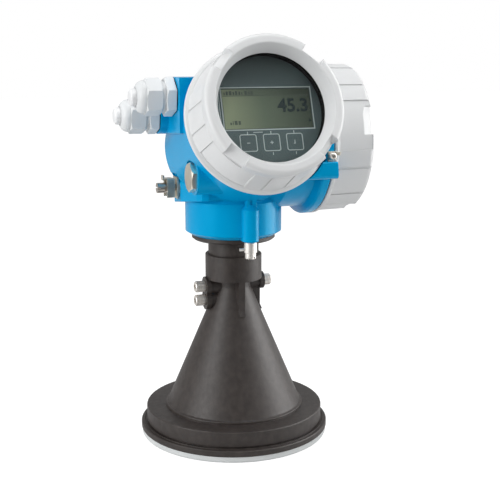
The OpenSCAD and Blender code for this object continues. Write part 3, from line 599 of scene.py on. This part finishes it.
# %% Build a ring of bars
def bar_ring_tree(material):
    tree, inputs, output = new_tree("bar_ring", [
        ("Bars", "NodeSocketInt", 32), ("Radius", "NodeSocketFloat", 5 * MM),
        ("Thickness", "NodeSocketFloat", 0.5 * MM), ("Width", "NodeSocketFloat", 0.5 * MM),
        ("Length", "NodeSocketFloat", 6 * MM), ("Turn", "NodeSocketFloat", math.pi / 4)])
    ring = tree.nodes.new("GeometryNodeMeshCircle")
    cube = tree.nodes.new("GeometryNodeMeshCube")
    size = tree.nodes.new("ShaderNodeCombineXYZ")
    index = tree.nodes.new("GeometryNodeInputIndex")
    step = tree.nodes.new("ShaderNodeMath")
    step.operation = "DIVIDE"
    step.inputs[0].default_value = 2 * math.pi
    angle = tree.nodes.new("ShaderNodeMath")
    angle.operation = "MULTIPLY_ADD"
    turn = tree.nodes.new("ShaderNodeCombineXYZ")
    place = tree.nodes.new("GeometryNodeInstanceOnPoints")
    link = tree.links.new
    link(inputs.outputs["Bars"], ring.inputs["Vertices"])
    link(inputs.outputs["Radius"], ring.inputs["Radius"])
    link(inputs.outputs["Thickness"], size.inputs["X"])
    link(inputs.outputs["Width"], size.inputs["Y"])
    link(inputs.outputs["Length"], size.inputs["Z"])
    link(size.outputs["Vector"], cube.inputs["Size"])
    link(inputs.outputs["Bars"], step.inputs[1])
    link(index.outputs["Index"], angle.inputs[0])
    link(step.outputs["Value"], angle.inputs[1])
    link(inputs.outputs["Turn"], angle.inputs[2])
    link(angle.outputs["Value"], turn.inputs["Z"])
    link(turn.outputs["Vector"], place.inputs["Rotation"])
    link(ring.outputs["Mesh"], place.inputs["Points"])
    link(cube.outputs["Mesh"], place.inputs["Instance"])
    finish_tree(tree, output, place.outputs["Instances"], material)
    return tree


def joined(parts, name):
    """One mesh from copies of a mesh, each with its own matrix."""
    bm = bmesh.new()
    for source, matrix in parts:
        fresh = source.copy()
        fresh.transform(matrix)
        bm.from_mesh(fresh)
        bpy.data.meshes.remove(fresh)
    return mesh_from(bm, name)


def facing(axis, place):
    """A matrix that puts flat x, y, z on a face whose outward direction is axis."""
    axis = Vector(axis)
    side = Vector((0, 0, 1)).cross(axis).normalized()
    return plane_matrix(Vector(place), side, axis.cross(side), axis)


# %% [markdown]
# The three screws, two on the left and one on the right, are one CAD node.
# Splitting its vertices by place gives each head's box, so the knurl follows
# the solid if it changes. The ridges are square bars turned on edge, sunk
# into the head, so that only their corners stand out.

# %% Knurl the clamp screws
def head_boxes(node):
    """The box of each separate screw, found by which side and height it is at."""
    points = np.array([v.co for v in nodes[node].data.vertices])
    left = points[points[:, 0] < 0]
    middle_z = (left[:, 2].min() + left[:, 2].max()) / 2
    right = points[points[:, 0] > 0]
    groups = (left[left[:, 2] > middle_z], left[left[:, 2] < middle_z], right)
    return [(g.min(0), g.max(0)) for g in groups]


KNURL = {"Bars": 36, "Thickness": 0.62 * MM, "Width": 0.62 * MM, "Turn": math.pi / 4}
KNURL_LENGTH = {-1: 8.0 * MM, 1: 6.0 * MM}
KNURL_SINK = 0.15 * MM
HEAD_CHAMFER = 0.9 * MM
knurl_parts = []
bar_ring = bar_ring_tree(screw_steel)
for low, high in head_boxes("horn_screws"):
    side = -1 if low[0] < 0 else 1
    outer = low[0] if side < 0 else high[0]
    head_r = (high[2] - low[2]) / 2
    length = KNURL_LENGTH[side]
    ridges = run_tree(bar_ring, KNURL | {"Radius": head_r - KNURL_SINK, "Length": length}, "knurl")
    centre = (outer - side * (length / 2 + HEAD_CHAMFER),
              (low[1] + high[1]) / 2, (low[2] + high[2]) / 2)
    knurl_parts.append((ridges, facing((side, 0, 0), centre)))
add_piece("clamp_screw_knurls", joined(knurl_parts, "clamp_screw_knurls"), screw_steel,
          "antenna")

# %% [markdown]
# In each gland a ring of plastic fingers, moulded with the gland's body, is
# pressed on the seal by the cap nut. Their ends show between the dome of the
# nut and the plug.

# %% Set the gland fingers
FINGERS = {"Bars": 12, "Radius": 8.0 * MM, "Thickness": 0.7 * MM, "Width": 3.2 * MM,
           "Length": 4.4 * MM, "Turn": 0.0}
FINGER_DEPTH = 2.4 * MM
finger_ring = run_tree(bar_ring_tree(gland_grey), FINGERS, "finger_ring")
finger_parts = []
for which in ("upper", "lower"):
    low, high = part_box("gland_nut_" + which)
    centre = (low.x + FINGER_DEPTH, (low.y + high.y) / 2, (low.z + high.z) / 2)
    finger_parts.append((finger_ring, facing((-1, 0, 0), centre)))
add_piece("gland_fingers", joined(finger_parts, "gland_fingers"), gland_grey,
          "housing")

# %% [markdown]
# The stage is a plain white room under soft light. What the camera sees far
# away is white, while the light on the object comes from a grey sky and a few
# large lamps, so that no pale part burns out. The sky is darker behind the
# camera, as a studio is: that dark side shows in paint and steel and gives
# round parts their modelling.

# %% Set the sky
VIEW_SIDE = Vector((-0.31, -0.95, 0.0))
DIM_EDGE, DIM_CORE = 0.70, 0.97  # cosines of the angle from the dimmed side's middle
world = bpy.data.worlds.new("studio_sky")
bpy.context.scene.world = world
world.use_nodes = True
sky = world.node_tree
sky.nodes.clear()


def sky_light(strength):
    """An even white sky light."""
    light = sky.nodes.new("ShaderNodeBackground")
    light.inputs["Color"].default_value = (1, 1, 1, 1)
    light.inputs["Strength"].default_value = strength
    return light


def dim_side(light, direction, full, least):
    """Let a sky light fall from full to least towards one direction."""
    place = sky.nodes.new("ShaderNodeTexCoord")
    along = sky.nodes.new("ShaderNodeVectorMath")
    along.operation = "DOT_PRODUCT"
    along.inputs[1].default_value = Vector(direction).normalized()
    span = sky.nodes.new("ShaderNodeMapRange")
    span.interpolation_type = "SMOOTHSTEP"
    span.inputs["From Min"].default_value = DIM_EDGE
    span.inputs["From Max"].default_value = DIM_CORE
    span.inputs["To Min"].default_value = full
    span.inputs["To Max"].default_value = least
    sky.links.new(place.outputs["Generated"], along.inputs[0])
    sky.links.new(along.outputs["Value"], span.inputs["Value"])
    sky.links.new(span.outputs["Result"], light.inputs["Strength"])
    return light


rays = sky.nodes.new("ShaderNodeLightPath")
seen = sky.nodes.new("ShaderNodeMixShader")
lit = dim_side(sky_light(0.0), VIEW_SIDE + Vector((0, 0, -0.1)), full=0.55, least=0.13)
sky.links.new(rays.outputs["Is Camera Ray"], seen.inputs["Fac"])
sky.links.new(lit.outputs["Background"], seen.inputs[1])
sky.links.new(sky_light(1.0).outputs["Background"], seen.inputs[2])
sky_out = sky.nodes.new("ShaderNodeOutputWorld")
sky.links.new(seen.outputs["Shader"], sky_out.inputs["Surface"])

# %% [markdown]
# The floor keeps the soft shadow under the horn. To the camera it also glows,
# by about half, so it stays as white as the sky. Where shiny parts mirror it,
# it goes dark towards the camera, like the unlit half of a studio.

# %% Lay the floor
FLOOR_GLOW = 1.78
GLOW_SHARE = 0.5
MIRRORED_PALE, MIRRORED_DARK = 0.75, 0.04
DARK_FROM, DARK_TO = 0.15, 0.45  # metres in front of the horn's axis


def floor_finish():
    """Pale floor that the camera sees as white except where little light reaches it."""
    material, tree, shader = start_finish("studio_floor", 0.9)
    shader.inputs["Specular IOR Level"].default_value = 0.0
    pale = vary_colour(tree, shader, (0.62, 0.62, 0.62), (0.64, 0.64, 0.64), noise(tree, 2, 2))
    place = tree.nodes.new("ShaderNodeTexCoord")
    along = tree.nodes.new("ShaderNodeVectorMath")
    along.operation = "DOT_PRODUCT"
    along.inputs[1].default_value = VIEW_SIDE
    span = tree.nodes.new("ShaderNodeMapRange")
    span.interpolation_type = "SMOOTHSTEP"
    span.inputs["From Min"].default_value = DARK_FROM
    span.inputs["From Max"].default_value = DARK_TO
    span.inputs["To Min"].default_value = MIRRORED_PALE
    span.inputs["To Max"].default_value = MIRRORED_DARK
    tree.links.new(place.outputs["Object"], along.inputs[0])
    tree.links.new(along.outputs["Value"], span.inputs["Value"])
    glow = tree.nodes.new("ShaderNodeEmission")
    glow.inputs["Color"].default_value = (1, 1, 1, 1)
    glow.inputs["Strength"].default_value = FLOOR_GLOW
    ray = tree.nodes.new("ShaderNodeLightPath")
    shade = tree.nodes.new("ShaderNodeMix")
    shade.data_type = "RGBA"
    tree.links.new(ray.outputs["Is Glossy Ray"], shade.inputs["Factor"])
    tree.links.new(pale.outputs["Color"], shade.inputs["A"])
    tree.links.new(span.outputs["Result"], shade.inputs["B"])
    tree.links.new(shade.outputs["Result"], shader.inputs["Base Color"])
    share = tree.nodes.new("ShaderNodeMath")
    share.operation = "MULTIPLY"
    share.inputs[1].default_value = GLOW_SHARE
    choose = tree.nodes.new("ShaderNodeMixShader")
    tree.links.new(ray.outputs["Is Camera Ray"], share.inputs[0])
    tree.links.new(share.outputs["Value"], choose.inputs["Fac"])
    tree.links.new(shader.outputs["BSDF"], choose.inputs[1])
    tree.links.new(glow.outputs["Emission"], choose.inputs[2])
    tree.links.new(choose.outputs["Shader"], tree.nodes["Material Output"].inputs["Surface"])
    return material


FLOOR_HALF = 6.0
corners = [(x * FLOOR_HALF, y * FLOOR_HALF, 0) for x, y in ((-1, -1), (1, -1), (1, 1), (-1, 1))]
floor_mesh = bpy.data.meshes.new("studio_floor")
floor_mesh.from_pydata(corners, [], [(0, 1, 2, 3)])
floor_mesh.materials.append(floor_finish())
floor = bpy.data.objects.new("studio_floor", floor_mesh)
bpy.context.scene.collection.objects.link(floor)
print("floor", 2 * FLOOR_HALF, "m wide")

# %% [markdown]
# A large softbox on the left models the round castings, one above fills the
# rims and a weak one on the right opens the shadows. Beside that a tall box
# gives the dark horn its long sheen. It lights only the shine, so it doesn't
# burn out the pale cover in front of it.

# %% Hang the lamps
def softbox(name, place, target, width, height, watts, shine_only=False):
    """A rectangular lamp, in metres and watts, turned towards a point."""
    lamp = bpy.data.lights.new(name, "AREA")
    lamp.shape = "RECTANGLE"
    lamp.size = width
    lamp.size_y = height
    lamp.energy = watts
    holder = bpy.data.objects.new(name, lamp)
    holder.location = place
    holder.visible_diffuse = not shine_only
    holder.rotation_euler = (Vector(target) - Vector(place)).to_track_quat("-Z", "Y").to_euler()
    bpy.context.scene.collection.objects.link(holder)


middle = (0, 0, 0.22)
barrel = (0, 0, 0.27)
softbox("key_lamp", (-1.42, -0.40, 0.56), middle, 0.85, 1.1, 14)
softbox("side_lamp", (0.66, -0.12, 0.42), barrel, 0.46, 0.9, 5.5, shine_only=True)
softbox("side_fill", (0.95, -0.45, 0.5), middle, 0.6, 0.9, 4.5)
softbox("top_lamp", (0.1, -0.15, 1.5), middle, 0.9, 0.9, 8.0)

# %% [markdown]
# The camera stands in front, a little to the left and above, and looks
# slightly down with a long lens.

# %% Place the camera
camera_data = bpy.data.cameras.new("camera")
camera_data.lens = 72
camera_data.sensor_width = 36
camera = bpy.data.objects.new("camera", camera_data)
camera.location = (-0.2815, -0.8633, 0.3594)
camera.rotation_euler = (math.radians(78.40), 0, math.radians(-19.03))
bpy.context.scene.collection.objects.link(camera)
bpy.context.scene.camera = camera
bpy.context.scene.view_settings.view_transform = "Standard"
print("camera", [round(v, 3) for v in camera.location])
